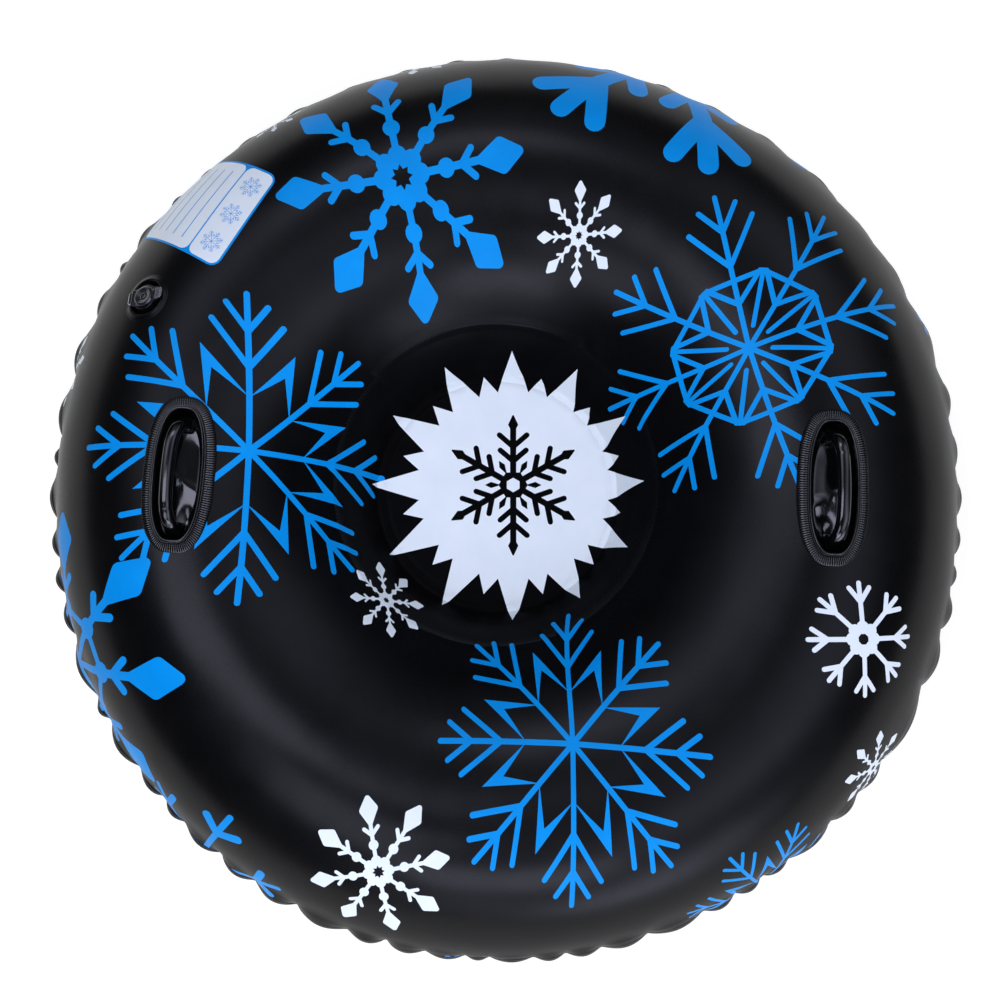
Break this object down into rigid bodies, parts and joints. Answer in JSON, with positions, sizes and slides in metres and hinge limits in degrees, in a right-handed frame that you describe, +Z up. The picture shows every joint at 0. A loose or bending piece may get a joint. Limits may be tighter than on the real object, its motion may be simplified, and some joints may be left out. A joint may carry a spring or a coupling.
{
  "type": "inflatable sled",
  "caption": "Round inflatable snow tube with a flat welded seat floor, moulded grab handles in recessed cups and a plugged pop-up inflation valve",
  "frame": {"origin": "on the ground under the centre of the ring, at the bottom centre of the bounding box", "axes": "+X to the right handle as the picture shows the tube from above, +Y to the top of the picture, +Z up out of the seat"},
  "size_m": [1.054, 1.054, 0.2986],
  "materials": {
    "upper_sheet": "satin welded PVC film, near black, printed in blue and white",
    "lower_sheet": "satin welded PVC film, heavier, plain black",
    "handle_vinyl": "glossy moulded black vinyl, fine ribs on the welded border",
    "flange_vinyl": "soft satin black vinyl",
    "valve_vinyl": "soft glossy black vinyl"
  },
  "bodies": {
    "tube": {"upper_skin": "upper_sheet", "lower_skin": "lower_sheet", "left_handle_cup": "handle_vinyl", "left_handle_grip": "handle_vinyl", "right_handle_cup": "handle_vinyl", "right_handle_grip": "handle_vinyl", "valve_flange": "flange_vinyl", "valve_web": "flange_vinyl"},
    "valve_stem_body": {"valve_stem": "valve_vinyl", "valve_strap": "valve_vinyl"},
    "plug": {"valve_plug": "valve_vinyl"},
    "flap": {"valve_flap": "valve_vinyl"}
  },
  "joints": [
    {"name": "stem_slide", "type": "slide", "parent": "tube", "child": "valve_stem_body", "axis": [-0.5065, 0.2659, 0.8202], "range_m": [0, 0.012], "deforming": ["valve_web"]},
    {"name": "plug_hinge", "type": "hinge", "parent": "valve_stem_body", "child": "plug", "pos_m": [-0.42279, 0.21325, 0.24592], "axis": [-0.0995, -0.9629, 0.2508], "range_deg": [0, 140], "deforming": ["valve_strap"]},
    {"name": "flap_hinge", "type": "hinge", "parent": "valve_stem_body", "child": "flap", "pos_m": [-0.40211, 0.20636, 0.22764], "axis": [0.0995, 0.9629, -0.2508], "range_deg": [0, 60], "stiffness_Nm_per_rad": 0.002}
  ]
}
